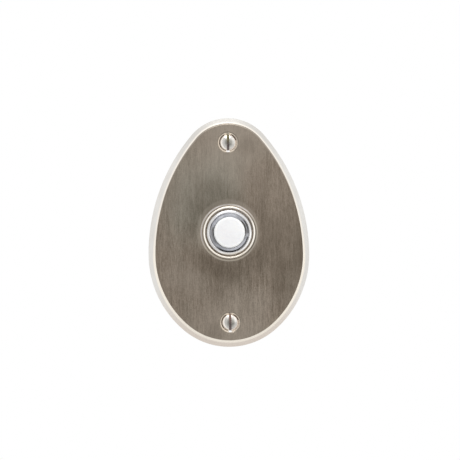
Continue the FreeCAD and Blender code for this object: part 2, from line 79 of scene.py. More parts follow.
def round_off(bm, parts, run, segments, affect="EDGES"):
    """Rounds these edges or corners off, starting at this run from them."""
    bmesh.ops.bevel(bm, geom=parts, offset=run, offset_type="OFFSET", affect=affect, segments=segments, profile=0.5,
                    material=-1)


def turned(corners, steps=96, x=0.0, z=0.0, closed=False):
    """A shape turned as on a lathe: its section spun round the line along y through (x, z).

    A corner is (radius, y), or (radius, y, run) for a rounding that starts at that run from the corner.
    """
    bm = bmesh.new()
    points = [bm.verts.new((corner[0], corner[1], 0)) for corner in corners]
    for pair in zip(points, points[1:] + points[:1] if closed else points[1:]):
        bm.edges.new(pair)
    for point, corner in zip(points, corners):
        if len(corner) > 2:
            round_off(bm, [point], corner[2], 5, "VERTICES")
    bmesh.ops.spin(bm, geom=[*bm.verts, *bm.edges], cent=(0, 0, 0), axis=(0, 1, 0), angle=math.tau, steps=steps,
                   use_merge=True)
    bmesh.ops.translate(bm, verts=bm.verts, vec=(x, 0, z))
    return bm


def swing(bm, vert, centre, angle):
    """Draws an arc from vert round centre (x, z), turning from x towards z, and returns its last vertex."""
    drawn = bmesh.ops.spin(bm, geom=[vert], cent=(centre[0], vert.co.y, centre[1]), axis=(0, -1, 0), angle=angle,
                           steps=max(4, round(abs(angle) * 24)))
    return only(BMVert, drawn["geom_last"])[0]


def egg_half(up, join):
    """The upper (1) or lower (-1) half of the outline: how far its flanks' centres lie across, where its end's centre
    lies, and its end's radius. Flank and end join where both stand at this angle."""
    height = plate_height / 2 - up * widest_line
    apart = (height - plate_width / 2) / (math.cos(join) + math.sin(join) - 1)
    end_z = apart * math.sin(join)
    return apart * math.cos(join), widest_line + up * end_z, height - end_z


def edges_at(bm, y, reach=1e-3):
    """Edges that lie within reach of this level."""
    return [edge for edge in bm.edges if all(abs(vert.co.y - y) < reach for vert in edge.verts)]


def open_edges(bm, y):
    """Edges at this level that have less than two faces."""
    return [edge for edge in edges_at(bm, y) if len(edge.link_faces) < 2]


def take_in(bm, other):
    """Adds the whole of another shape to this one."""
    mesh = bpy.data.meshes.new("taken_in")
    other.to_mesh(mesh)
    other.free()
    bm.from_mesh(mesh)
    bpy.data.meshes.remove(mesh)


def new_object(name, data):
    """Adds an object to the scene."""
    made = bpy.data.objects.new(name, data)
    bpy.context.scene.collection.objects.link(made)
    return made


def finish_piece(bm, name, material, node, body="base"):
    """Makes an object of a shape in millimetres, shaded smooth up to its sharp edges, in place of a CAD node."""
    bmesh.ops.remove_doubles(bm, verts=bm.verts, dist=WELD)
    bmesh.ops.recalc_face_normals(bm, faces=bm.faces)
    for face in bm.faces:
        face.smooth = True
    for edge in bm.edges:
        edge.smooth = edge.calc_face_angle(math.pi) < SHARP
    bmesh.ops.scale(bm, vec=(0.001, 0.001, 0.001), verts=bm.verts)
    mesh = bpy.data.meshes.new(name)
    bm.to_mesh(mesh)
    bm.free()
    for one in material if isinstance(material, list) else [material]:
        mesh.materials.append(one)
    piece = new_object(name, mesh)
    flatter = piece.modifiers.new("flat_faces_stay_flat", "WEIGHTED_NORMAL")
    flatter.keep_sharp = True
    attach(piece, body)
    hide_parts(node)
    return piece


class Wire:
    """An output socket of a material's node. Sums and products of wires add Math nodes to the same material."""

    def __init__(self, tree, socket):
        self.tree, self.socket = tree, socket

    def node(self, kind, settings, values, output=0):
        """Adds a node, sets it up, feeds its sockets with plain values or wires, and returns one of its outputs."""
        added = self.tree.nodes.new("ShaderNode" + kind)
        for name, value in settings.items():
            setattr(added, name, value)
        for name, value in values.items():
            if isinstance(value, Wire):
                self.tree.links.new(value.socket, added.inputs[name])
            else:
                added.inputs[name].default_value = value
        return Wire(self.tree, added.outputs[output])

    def maths(self, operation, first, second):
        """Adds a Math node."""
        return self.node("Math", {"operation": operation}, {0: first, 1: second})

    def __add__(self, other):
        return self.maths("ADD", self, other)

    def __sub__(self, other):
        return self.maths("SUBTRACT", self, other)

    def __rsub__(self, other):
        return self.maths("SUBTRACT", other, self)

    def __mul__(self, other):
        return self.maths("MULTIPLY", self, other)

    __radd__ = __add__
    __rmul__ = __mul__


def shade(*parts):
    """A colour socket's value for a red, green and blue as a picture shows them, 0 to 255."""
    return (*[((part / 255 + 0.055) / 1.055) ** 2.4 for part in parts], 1)


def new_finish(name, **plain):
    """A material whose shader has these plain values. Returns it, its shader, and the place on the piece in mm."""
    material = bpy.data.materials.new(name)
    material.use_nodes = True
    shader = material.node_tree.nodes["Principled BSDF"]
    for socket, value in plain.items():
        shader.inputs[socket.replace("_", " ")].default_value = value
    here = Wire(material.node_tree, None).node("TexCoord", {}, {}, "Object")
    return material, shader, here.node("VectorMath", {"operation": "SCALE"}, {0: here, "Scale": 1000})


def feed(shader, **wires):
    """Connects wires to the shader's sockets."""
    for socket, wire in wires.items():
        wire.tree.links.new(wire.socket, shader.inputs[socket.replace("_", " ")])


def blend(mask, low, high):
    """Colour that goes from low to high as the mask goes from 0 to 1."""
    return mask.node("Mix", {"data_type": "RGBA"}, {0: mask, 6: low, 7: high}, 2)


def tint(colour, mask, *parts):
    """This colour, and where the mask is 1 the red, green and blue that a picture shows."""
    return blend(mask, colour, shade(*parts))


def between(value, low, high):
    """0 where the value is low and 1 where it is high, with soft ends. High may be the smaller number."""
    return value.node("MapRange", {"interpolation_type": "SMOOTHSTEP"},
                      {"Value": value, "From Min": low, "From Max": high})


def grain(place, x, y, z, detail=3.0, rough=0.5):
    """Noise with these numbers of grains per millimetre along each axis, about 0 to 1."""
    stretched = place.node("VectorMath", {"operation": "MULTIPLY"}, {0: place, 1: (x, y, z)})
    noise = place.node("TexNoise", {}, {"Vector": stretched, "Scale": 1.0, "Detail": detail, "Roughness": rough},
                       "Fac")
    return between(noise, 0.25, 0.75)


def along(place, axis):
    """How far the place lies along X, Y or Z."""
    return place.node("SeparateXYZ", {}, {"Vector": place}, axis)


def off_line(place, x=0, z=0):
    """How far the place lies from the line along y through (x, z), which is at first the button's axis."""
    flat = place.node("VectorMath", {"operation": "MULTIPLY"}, {0: place, 1: (1, 0, 1)})
    return place.node("VectorMath", {"operation": "DISTANCE"}, {0: flat, 1: (x, 0, z)}, "Value")


def spot(place, x, z, inner, outer):
    """1 within the inner radius of the line along y through (x, z), and 0 from the outer radius on."""
    return between(off_line(place, x, z), outer, inner)


def patches(place, *spots):
    """The sum of spots (x, z, inner, outer, strength)."""
    return sum(spot(place, *where) * strength for *where, strength in spots)


def at_screws(place, x, z, inner, outer):
    """A spot at the same place beside each mounting screw's axis."""
    return spot(place, x, screw_z + z, inner, outer) + spot(place, x, z - screw_z, inner, outer)


def relief(height, depth):
    """Normal of a surface with this height pattern, whose full height is depth in millimetres."""
    return height.node("Bump", {}, {"Height": height, "Strength": 1.0, "Distance": depth / 1000}, "Normal")


def brushed_metal():
    """The plate's face: fine upright brush lines. Painted reflection makes it lighter round the screws, just round
    the collar and towards the top and bottom, and painted shade makes it darker round the collar and low on the
    right."""
    material, shader, place = new_finish("brushed_white_metal", Metallic=0.85)
    height, across = along(place, "Z"), along(place, "X")
    fine = grain(place, 3.4, 3.4, 0.4, 3, 0.6)
    short = grain(place, 3.2, 3.2, 2.0, 2, 0.6)
    broad = grain(place, 0.9, 0.9, 0.05, 3, 0.6)
    cloud = grain(place, 0.07, 0.07, 0.05, 2)
    brown = 1 - spot(place, -10, 14, 4, 27) * 0.9 + (cloud - 0.5) * 0.4 + spot(place, 14, 18, 2, 14) * 0.5
    lines = fine * 0.42 + short * 0.33 + broad * 0.25
    lines = (lines - 0.5) * (1.1 + spot(place, 3, -22, 8, 26) * 0.35 - between(height, 8, 20) * 0.15) + 0.5
    # Painted reflection: the face is written darker than the polished bevel, standing in for the darker surround it
    # reflects.
    colour = blend(brown, blend(lines, shade(95, 91, 80), shade(145, 139, 127)),
                           blend(lines, shade(95, 85, 73), shade(146, 134, 121)))
    # Painted reflection: lighter towards the top and bottom, round the screws, just round the collar and in soft
    # patches.
    light = (between(height, 30, 45) + between(height, -28, -45)) * 0.1
    light += patches(place, (0, screw_z, 4, 20, 0.32), (0, -screw_z, 4, 20, 0.25), (-0.3, 0.7, 11.9, 12.8, 0.26),
                     (-17, 20, 2, 18, 0.15), (-20, -17, 2, 9, 0.12), (-13, -20, 2, 8, 0.14), (4, 20, 2, 7, 0.12),
                     (13, -26, 2, 7, 0.1))
    colour = tint(colour, light, 168, 159, 147)
    # Painted shade and reflection: darker patches round and below the collar, low on the right and near the screws,
    # and darker at the right edge, with random mottle on top.
    painted_shade_and_mottle = patches(place, (-3, -17, 5, 19, 0.28), (-7, 12, 4, 15.5, 0.42), (21, -8, 4, 20, 0.25),
                   (23, -18, 3, 11, 0.2), (8, 34, 1, 6, 0.2), (20, -26, 3, 8, 0.18), (-6, -39, 2, 6, 0.3),
                   (13, -13, 1, 6, 0.13), (0, -15, 3, 8, 0.2), (9, -9, 1, 4, 0.12), (-14, 1, 1, 5, 0.18),
                   (-9.5, -9.5, 1, 4.5, 0.15))
    painted_shade_and_mottle += between(across, 23, 29) * spot(place, 27, 0, 10, 17) * 0.3
    painted_shade_and_mottle += (cloud - 0.5) * 0.2 + (grain(place, 0.2, 0.2, 0.02, 2) - 0.5) * 0.16
    # Painted shadow in a ring round the collar, except above it.
    collar_shadow_ring = spot(place, 0, 0, 17, 21) - spot(place, 0, 0, 12.6, 13.6)
    painted_shade_and_mottle += collar_shadow_ring * between(height, 15, 9) * 0.13
    colour = tint(colour, painted_shade_and_mottle, 74, 64, 52)
    feed(shader, Base_Color=colour, Roughness=0.38 + lines * 0.12, Normal=relief(fine, 0.003))
    return material


def polished_metal():
    """Bevel, side, collar and countersinks: satin bright, linished round the side, with painted highlights,
    reflections and shade on the bevel, collar and countersinks, and brown painted shade in the collar's recess.
    """
    material, shader, place = new_finish("polished_white_metal")
    across, depth, height, radius = along(place, "X"), along(place, "Y"), along(place, "Z"), off_line(place)
    edge, collar = between(radius, 13, 14), between(radius, 13, 12)
    haze = grain(place, 0.35, 0.35, 0.12, 3)
    colour = blend(haze, shade(224, 221, 216), shade(231, 229, 225))
    # Painted reflection and shade: the bevel is beige towards the bottom and a little darker towards the top.
    colour = tint(colour, between(height, -18, -42) * 0.7, 228, 214, 200)
    colour = tint(colour, between(height, 22, 40), 213, 210, 205)
    inward = depth - between(height, 4, 44) * 0.42
    side = between(depth, y_face + plate_bevel, y_face + plate_bevel + 0.4) * edge
    linished = grain(place, 0.12, 5, 0.12, 3, 0.6)
    colour = blend(side, colour, blend(linished, shade(166, 158, 149), shade(212, 206, 198)))
    # Painted highlight along the bevel's inner edge, brighter towards the bottom.
    low = between(height, 2, -12)
    arris_highlight = between(inward - low * 0.3, -5.5, -6.1) * edge
    colour = blend(arris_highlight, colour, blend(low, shade(247, 240, 230), shade(253, 245, 232)))
    # Painted shade: the top of the bevel's inner edge is darker, where the lamp's highlight would fall.
    darkened_top_arris = between(inward, -6.3, -6.42) * edge * (1 - spot(place, 0, screw_z, 4.7, 4.9))
    colour = tint(colour, darkened_top_arris, 150, 141, 130)
    lip = between(depth, y_face - 0.6, y_lip + 0.3) * collar
    # Painted light on the collar's lip: lighter at the top, darker at the bottom and at the upper right.
    lip_painted_light = blend(between(height, -3, -9), shade(241, 235, 226), shade(228, 220, 208))
    colour = blend(lip, colour, lip_painted_light)
    colour = tint(colour, lip * spot(place, 6.7, 6.7, 2, 5), 208, 201, 193)
    # Painted shade in the groove just inside the collar's outer edge, lighter towards the lower left, the upper right
    # and the bottom.
    groove = between(radius, collar_outside - 0.28, collar_outside - 0.08) * collar
    lower_left = between(across * 0.8 + height * 0.7, 4, -8)
    groove_shade = blend(lower_left, shade(148, 139, 126), shade(178, 167, 151))
    groove_shade = tint(groove_shade, spot(place, 5, 9, 3, 7), 164, 154, 140)
    groove_shade = tint(groove_shade, spot(place, 0, -10, 2, 5), 168, 158, 143)
    colour = blend(groove, colour, groove_shade)
    # Painted reflection on the ring round the collar's foot: greyer towards the upper left and darker at the top.
    toe_ring = between(radius, 10.6, 10.9) * between(radius, 11.32, 11.05)
    upper_left = between(height - across * 0.6, -2, 5)
    toe_reflection = blend(upper_left, shade(180, 173, 162), shade(190, 187, 191))
    toe_reflection = tint(toe_reflection, spot(place, 0, 11.2, 2, 5), 132, 133, 136)
    colour = blend(toe_ring * 0.6, colour, toe_reflection)
    # Painted shade: the collar's recess is brown, lighter towards the upper right.
    dull = between(depth, y_lip + 0.1, y_lip + 0.7) * between(radius, collar_inside + 0.12, collar_inside - 0.02)
    recess_shade = blend(spot(place, 4, 8, 3, 7), shade(174, 157, 136), shade(208, 195, 178))
    colour = blend(dull * 0.8, colour, recess_shade)
    # Countersinks: darker than the bevel and darker still in a ring at their edge, with a painted light spot above
    # each head.
    sink = at_screws(place, 0, 0, 4.3, 4.6)
    colour = tint(colour, sink * 0.8, 196, 185, 171)
    colour = tint(colour, at_screws(place, 0, 3.5, 1, 2.6), 250, 240, 224)
    colour = tint(colour, sink - at_screws(place, 0, 0, 3.85, 4.02), 146, 137, 125)
    # Painted shadow: dark arcs in the gap round each head.
    shadow_arcs = at_screws(place, -2.9, 0.9, 2.2, 3.2) + at_screws(place, 2.4, 2.2, 1.2, 2)
    shadow_arcs += at_screws(place, -2.1, -2.6, 0.8, 1.8) * 0.7
    gap_shadow = at_screws(place, 0, 0, 3.38, 3.62) * shadow_arcs
    colour = tint(colour, gap_shadow * 0.9, 84, 74, 66)
    # Painted glints below each slot's end: white and less metallic, so the lamps light them.
    glint_spots = at_screws(place, -0.27, -3.35, 0.32, 0.6) + at_screws(place, 0.27, -3.35, 0.32, 0.6)
    colour = tint(colour, glint_spots, 252, 251, 250)
    rough = (dull + gap_shadow + groove) * 0.25 + side * (0.04 + linished * 0.12)
    feed(shader, Base_Color=colour, Roughness=0.3 + haze * 0.06 + rough, Metallic=0.85 - glint_spots * 0.8,
         Normal=relief(haze, 0.0015))
    return material


def cast_metal():
    """The back, with the fine sand texture and the grey skin of the casting."""
    material, shader, place = new_finish("cast_white_metal", Metallic=0.7)
    sand = grain(place, 2.5, 2.5, 2.5, 4, 0.6)
    stain = grain(place, 0.08, 0.3, 0.08, 3)
    colour = blend(stain, shade(112, 105, 97), shade(146, 139, 130))
    colour = tint(colour, sand * 0.35, 88, 82, 75)
    feed(shader, Base_Color=colour, Roughness=0.5 + sand * 0.2, Normal=relief(sand, 0.06))
    return material


plate = turned([
    (collar_outside + collar_cove, y_face),
    (collar_outside, y_face, collar_cove),
    (collar_outside, y_lip, lip_run),
    (collar_inside, y_lip, lip_run),
    (collar_inside, y_seat),
    (barrel_hole, y_seat),
    (barrel_hole, y_web_back),
], steps=128)
for z in (screw_z, -screw_z):
    take_in(plate, turned([
        (countersink + countersink_break, y_face),
        (countersink, y_face + countersink_break),
        (screw_hole, y_face + countersink_depth),
        (screw_hole, 0),
    ], steps=64, z=z))
bmesh.ops.remove_doubles(plate, verts=plate.verts, dist=WELD)
for face in plate.faces:
    face.material_index = 1

upper_x, crown_z, crown_radius = egg_half(1, crown_join)
lower_x, foot_z, foot_radius = egg_half(-1, foot_join)
shell = bmesh.new()
point = shell.verts.new((plate_width / 2, 0, widest_line))
point = swing(shell, point, (-upper_x, widest_line), crown_join)
point = swing(shell, point, (0, crown_z), math.pi - 2 * crown_join)
point = swing(shell, point, (upper_x, widest_line), crown_join)
point = swing(shell, point, (lower_x, widest_line), foot_join)
point = swing(shell, point, (0, foot_z), math.pi - 2 * foot_join)
swing(shell, point, (-lower_x, widest_line), foot_join)
bmesh.ops.remove_doubles(shell, verts=shell.verts, dist=WELD)
wall = bmesh.ops.extrude_edge_only(shell, edges=shell.edges)["geom"]
bmesh.ops.translate(shell, verts=only(BMVert, wall), vec=(0, y_face + plate_bevel, 0))
front = bmesh.ops.contextual_create(shell, geom=open_edges(shell, y_face + plate_bevel))["faces"]
bmesh.ops.recalc_face_normals(shell, faces=shell.faces)
if front[0].normal.y > 0:
    bmesh.ops.reverse_faces(shell, faces=shell.faces)
bmesh.ops.inset_region(shell, faces=front, thickness=plate_bevel, depth=plate_bevel, use_even_offset=True)
for y, run in ((y_face + plate_bevel, bevel_outer_run), (y_face, bevel_inner_run)):
    round_off(shell, edges_at(shell, y), run, 4)
bmesh.ops.delete(shell, geom=[max(shell.faces, key=lambda face: face.calc_area())], context="FACES_ONLY")
for face in shell.faces:
    face.material_index = 1
take_in(plate, shell)

pocket = bmesh.new()
pocket_crown = crown_radius - back_rim_width
boss_side = math.acos(boss_radius / pocket_crown)
point = pocket.verts.new((0, 0, screw_z - boss_radius))
point = swing(pocket, point, (0, screw_z), math.pi / 2)
corner = pocket.verts.new((boss_radius, 0, crown_z + pocket_crown * math.sin(boss_side)))
pocket.edges.new((point, corner))
point = swing(pocket, corner, (0, crown_z), crown_join - boss_side)
point = swing(pocket, point, (-upper_x, widest_line), -crown_join)
point = swing(pocket, point, (-lower_x, widest_line), -foot_join)
boss_side = math.acos(boss_radius / (foot_radius - back_rim_width))
point = swing(pocket, point, (0, foot_z), foot_join - boss_side)
corner = pocket.verts.new((boss_radius, 0, -screw_z))
pocket.edges.new((point, corner))
swing(pocket, corner, (0, -screw_z), math.pi / 2)
bmesh.ops.mirror(pocket, geom=[*pocket.verts, *pocket.edges], axis="X", merge_dist=WELD)
bmesh.ops.remove_doubles(pocket, verts=pocket.verts, dist=WELD)
wall = bmesh.ops.extrude_edge_only(pocket, edges=pocket.edges)["geom"]
bmesh.ops.translate(pocket, verts=only(BMVert, wall), vec=(0, y_web_back, 0))
pocket_floor = open_edges(pocket, y_web_back)
bmesh.ops.contextual_create(pocket, geom=pocket_floor)
bmesh.ops.recalc_face_normals(pocket, faces=pocket.faces)
round_off(pocket, pocket_floor, pocket_round, 4)
bmesh.ops.delete(pocket, geom=[max(pocket.faces, key=lambda face: face.calc_area())], context="FACES_ONLY")
for face in pocket.faces:
    face.material_index = 2
take_in(plate, pocket)
for y, out, finish in ((y_face, -1, 0), (y_web_back, 1, 2), (0, 1, 2)):
    filled = bmesh.ops.triangle_fill(plate, use_beauty=True, edges=open_edges(plate, y), normal=(0, out, 0))["geom"]
    for face in only(BMFace, filled):
        face.material_index = finish
bmesh.ops.recalc_face_normals(plate, faces=plate.faces)
finish_piece(plate, "plate", [brushed_metal(), polished_metal(), cast_metal()], "cover_plate")


# Barrel: the push button's turned brass shell, nickel plated. Its rounded flange drops into the collar from the
# front, its fine thread takes the nut behind the plate, and its rear lip is crimped over the base.

y_flange_back, y_flange_top = -6.65, -8.4
y_base_front, y_base_back, y_barrel_end = 1.79, 4.19, 4.69
flange_radius, barrel_radius, barrel_bore, crimp_inside, base_seat = 8.9, 7.94, 7.0, 6.6, 7.25
bushing_seat, y_bushing_shoulder = 7.72, -6.9
flange_round, mouth_round, crimp_round = 0.7, 0.35, 0.15
barrel_thread_depth, barrel_thread_pitch, barrel_thread_land = 0.36, 0.8, 0.15
y_thread_start, y_thread_end = -5.9, 4.3


def trim(bm, y, out):
    """Cuts away what lies past this level, towards +y (out is 1) or -y (out is -1)."""
    bmesh.ops.bisect_plane(bm, geom=[*bm.verts, *bm.edges, *bm.faces], dist=WELD, plane_co=(0, y, 0),
                           plane_no=(0, out, 0), clear_outer=True)


def wind_thread(bm, root, crest, land, pitch, y_from, y_to, steps):
    """Winds a thread ridge round the y axis, with its root, and lets it die away over a turn at each end."""
    thread = bmesh.new()
    flank = (pitch - land) / 3
    turns = math.ceil((y_to - y_from) / pitch) + 2
    ridge = ((root, 0), (crest, flank), (crest, flank + land), (root, 2 * flank + land), (root, pitch))
    points = [thread.verts.new((radius, y_from - pitch + y, 0)) for radius, y in ridge]
    section = points + [thread.edges.new(pair) for pair in zip(points, points[1:])]
    bmesh.ops.spin(thread, geom=section, cent=(0, 0, 0), axis=(0, 1, 0), dvec=(0, pitch / steps, 0),
                   angle=math.tau * turns, steps=steps * turns)
    bmesh.ops.remove_doubles(thread, verts=thread.verts, dist=WELD)
    trim(thread, y_from, -1)
    trim(thread, y_to, 1)
    for vert in thread.verts:
        fade = min(1.0, (vert.co.y - y_from) / pitch, (y_to - vert.co.y) / pitch)
        shrink = min(1.0, (root + (crest - root) * max(0.0, fade)) / math.hypot(vert.co.x, vert.co.z))
        vert.co.x *= shrink
        vert.co.z *= shrink
    take_in(bm, thread)


def join_rings(bm, y):
    """Closes the gap between the two open rings near this level."""
    bmesh.ops.bridge_loops(bm, edges=[edge for edge in edges_at(bm, y, 0.2) if edge.is_boundary])


def plated_metal(name, low, high, roughness, scratches=0.002):
    """Bright plating with fine haze and rubbed spots."""
    material, shader, place = new_finish(name, Metallic=1.0)
    haze = grain(place, 0.3, 0.3, 0.3, 3)
    rub = grain(place, 2, 0.5, 2, 2)
    feed(shader, Base_Color=blend(haze, low, high), Roughness=roughness + haze * 0.08 + rub * 0.05,
         Normal=relief(rub, scratches))
    return material


nickel, shader, place = new_finish("nickel_plate", Metallic=1.0)
across, height, radius = along(place, "X"), along(place, "Z"), off_line(place)
haze = grain(place, 0.3, 0.3, 0.3, 3)
colour = blend(haze, shade(205, 203, 201), shade(221, 220, 219))
# Painted light and shade on the mouth and flange: a highlight at the top of the mouth and shade at its bottom, darker
# on the slope towards the top and upper right, a highlight spot at the top, darker on the outer flank at the top,
# lighter on the slope towards the bottom, and warmer at its bottom.
mouth = between(radius, 8.25, 7.95)
colour = tint(colour, mouth * between(height, 4, 7), 252, 252, 254)
colour = tint(colour, mouth * between(height, -4, -7), 160, 158, 157)
slope = between(radius, 8.0, 8.3)
colour = tint(colour, slope * between(height + across * 0.5, 3, 7), 186, 184, 184)
colour = tint(colour, between(radius, 8.54, 8.38) * spot(place, -1.5, 8.1, 2, 5), 252, 252, 253)
flank = between(radius, 8.38, 8.58)
colour = tint(colour, flank * spot(place, 0, 8.4, 2, 4.5) * 0.75, 146, 144, 144)
colour = tint(colour, slope * between(height - across * 0.5, -3, -7), 246, 245, 244)
colour = tint(colour, slope * spot(place, 1, -8.6, 2, 5), 224, 218, 209)
feed(shader, Base_Color=colour, Roughness=0.22 + haze * 0.08, Normal=relief(haze, 0.0008))
barrel_root = barrel_radius - barrel_thread_depth
barrel = turned([
    (barrel_root, y_thread_start - 0.1),
    (barrel_radius, y_thread_start - 0.45),
    (barrel_radius, y_flange_back),
    (flange_radius, y_flange_back),
    (flange_radius, y_flange_top, flange_round),
    (bushing_seat, y_flange_top, mouth_round),
    (bushing_seat, y_bushing_shoulder),
    (barrel_bore, y_bushing_shoulder),
    (barrel_bore, y_base_front),
    (base_seat, y_base_front),
    (base_seat, y_base_back),
    (crimp_inside, y_base_back),
    (crimp_inside, y_barrel_end, crimp_round),
    (barrel_root, y_barrel_end, crimp_round + 0.1),
    (barrel_root, y_thread_end + 0.05),
])
wind_thread(barrel, barrel_root, barrel_radius, barrel_thread_land, barrel_thread_pitch, y_thread_start,
            y_thread_end, 96)
join_rings(barrel, y_thread_start)
join_rings(barrel, y_thread_end)
finish_piece(barrel, "barrel", nickel, "bezel_barrel")


# Gasket: a thin black rubber washer that beds the flange in the collar.
# It is punched from sheet and slipped over the barrel.


def mottled(name, grains, low, high, roughness, spread, depth, **plain):
    """A material whose colour, gloss and surface follow one even pattern, with this many grains per millimetre."""
    material, shader, place = new_finish(name, **plain)
    mottle = grain(place, grains, grains, grains)
    feed(shader, Base_Color=blend(mottle, low, high), Roughness=roughness + mottle * spread,
         Normal=relief(mottle, depth))
    return material


rubber = mottled("black_rubber", 1.5, shade(38, 36, 34), shade(66, 63, 60), 0.7, 0.15, 0.02)
gasket = turned([(barrel_hole, y_flange_back, 0.08), (flange_radius, y_flange_back, 0.08),
                 (flange_radius, y_seat, 0.08), (barrel_hole, y_seat, 0.08)], closed=True)
finish_piece(gasket, "gasket", rubber, "bezel_gasket")


# Lock washer and nut: zinc-plated steel. The washer's inner teeth bite the nut and the back of the plate, and the
# thin hexagon nut, chamfered on both faces, pulls the barrel's flange down in the collar.

y_washer_back, y_nut_back = -2.85, -0.55
washer_outside, tooth_root, tooth_count, notch_width = 9.7, 8.9, 12, 2.4
nut_flat, nut_face, nut_chamfer, nut_bore, bore_chamfer = 9.525, 9.425, 0.5, 7.98, 0.3
BEYOND = 1.0  # how far a cutting tool reaches past the work


def carve(bm, tool, operation="DIFFERENCE"):
    """Cuts one closed shape with another by a Boolean modifier, and returns what is left."""
    stand_ins = []
    for name, shape in (("blank", bm), ("tool", tool)):
        bmesh.ops.remove_doubles(shape, verts=shape.verts, dist=WELD)
        bmesh.ops.recalc_face_normals(shape, faces=shape.faces)
        mesh = bpy.data.meshes.new(name)
        shape.to_mesh(mesh)
        shape.free()
        stand_ins.append(new_object(name, mesh))
    blank, cutter = stand_ins
    cut = blank.modifiers.new("cut", "BOOLEAN")
    cut.operation, cut.object, cut.solver = operation, cutter, "EXACT"
    left = bmesh.new()
    left.from_object(blank, bpy.context.evaluated_depsgraph_get())
    for stand_in in stand_ins:
        bpy.data.meshes.remove(stand_in.data)
    return left


def block(low, high, angle=0.0):
    """A box between two corners, turned round the y axis."""
    low, high = Vector(low), Vector(high)
    bm = bmesh.new()
    stretched = Matrix.Translation((low + high) / 2) @ Matrix.Diagonal((*(high - low), 1))
    bmesh.ops.create_cube(bm, size=1, matrix=Matrix.Rotation(angle, 4, "Y") @ stretched)
    return bm


zinc = plated_metal("zinc_plate", shade(168, 163, 148), shade(200, 196, 184), 0.32, 0.006)
washer = turned([(nut_bore, y_web_back), (washer_outside, y_web_back, 0.06),
                 (washer_outside, y_washer_back, 0.06), (nut_bore, y_washer_back)], closed=True)
for tooth in range(tooth_count):
    notch = block((nut_bore - BEYOND, y_web_back - BEYOND, -notch_width / 2),
                  (tooth_root, y_washer_back + BEYOND, notch_width / 2), math.tau * tooth / tooth_count)
    washer = carve(washer, notch)
finish_piece(washer, "toothed_washer", zinc, "lock_washer")

nut = bmesh.new()
nut_corner = nut_flat / math.cos(math.pi / 6)
bmesh.ops.create_circle(nut, cap_ends=True, segments=6, radius=nut_corner,
                        matrix=Matrix.Translation((0, y_washer_back, 0)) @ Matrix.Rotation(math.pi / 2, 4, "X")
                        @ Matrix.Rotation(math.pi / 2, 4, "Z"))
raised = bmesh.ops.extrude_face_region(nut, geom=nut.faces[:])["geom"]
bmesh.ops.translate(nut, verts=only(BMVert, raised), vec=(0, y_nut_back - y_washer_back, 0))
chamfered = turned([
    (0, y_washer_back),
    (nut_face, y_washer_back),
    (nut_corner + 0.05, y_washer_back + nut_chamfer + 0.05),
    (nut_corner + 0.05, y_nut_back - nut_chamfer - 0.05),
    (nut_face, y_nut_back),
    (0, y_nut_back),
])
nut = carve(nut, chamfered, "INTERSECT")
bore = turned([
    (0, y_washer_back - BEYOND),
    (nut_bore + bore_chamfer + BEYOND, y_washer_back - BEYOND),
    (nut_bore, y_washer_back + bore_chamfer),
    (nut_bore, y_nut_back - bore_chamfer),
    (nut_bore + bore_chamfer + BEYOND, y_nut_back + BEYOND),
    (0, y_nut_back + BEYOND),
])
nut = carve(nut, bore)
finish_piece(nut, "nut", zinc, "jam_nut")


# Bushing: the clear moulded ring round the cap. Its rim rests in the barrel's mouth, and its sleeve guides the cap
# and stops the plunger. Painted dark reflections lie on it at the left and right, painted shade round its outer edge,
# and painted highlights below, at the right and along the upper right of its outer edge.

y_bushing_top, y_bushing_end = -8.0, -2.9
bushing_radius, bushing_bore, bushing_sleeve = 7.7, 6.2, 6.98
clear, shader, place = new_finish("clear_blue_plastic", Transmission_Weight=0.25, IOR=1.49)
across, height, radius = along(place, "X"), along(place, "Z"), off_line(place)
streak = grain(place, 0.35, 0.35, 0.35, 3)
colour = blend(streak, shade(188, 190, 198), shade(227, 229, 235))
# Painted highlight below, and painted dark reflections at the left and right.
colour = tint(colour, spot(place, 2.5, -6.3, 2, 4.5) * 0.7, 236, 237, 245)
dark_reflections = spot(place, 7, 0.7, 1.5, 4.5) * 0.62 + spot(place, 5, 5.2, 1, 4) * 0.35
dark_reflections += spot(place, -6.8, -1.2, 2.2, 5.2) * (between(radius, 7.2, 6.8) * 0.3 + 0.5)
dark_reflections += between(radius, 6.85, 6.5) * spot(place, 5.9, 2.4, 1.6, 3.4) * 1.2
colour = tint(colour, dark_reflections * (streak * 0.4 + 0.7), 84, 80, 76)
# Painted shade round the outer edge at the right, below and upper left, a small painted highlight at the right, and a
# painted highlight along the upper right of the outer edge.
right_and_below = between(across * 0.8 - height * 0.75, -1.5, 2.5)
colour = tint(colour, between(radius, 7.05, 7.3) * right_and_below, 40, 40, 44)
upper_left = between(radius, 7.2, 7.4) * spot(place, -5.2, 5, 3, 4.6)
colour = tint(colour, upper_left * 0.7, 90, 91, 104)
colour = tint(colour, spot(place, 7.25, -1.1, 0.4, 0.9) * 0.8, 200, 202, 206)
edge = between(radius, 7.53, 7.63) * between(across + height, -4, -1)
colour = tint(colour, edge, 250, 250, 251)
feed(shader, Base_Color=colour, Roughness=0.1 + streak * 0.1, Normal=relief(streak, 0.01))
bushing = turned([
    (bushing_bore, y_bushing_top, 0.25),
    (bushing_radius, y_bushing_top, 0.25),
    (bushing_radius, y_bushing_shoulder),
    (bushing_sleeve, y_bushing_shoulder, 0.05),
    (bushing_sleeve, y_bushing_end),
    (bushing_bore, y_bushing_end, 0.1),
], closed=True)
finish_piece(bushing, "bushing", clear, "halo_ring")


# Cap: the white translucent cup that the finger presses, slightly domed, with a rounded edge.
# It is moulded and pushed over the plunger.

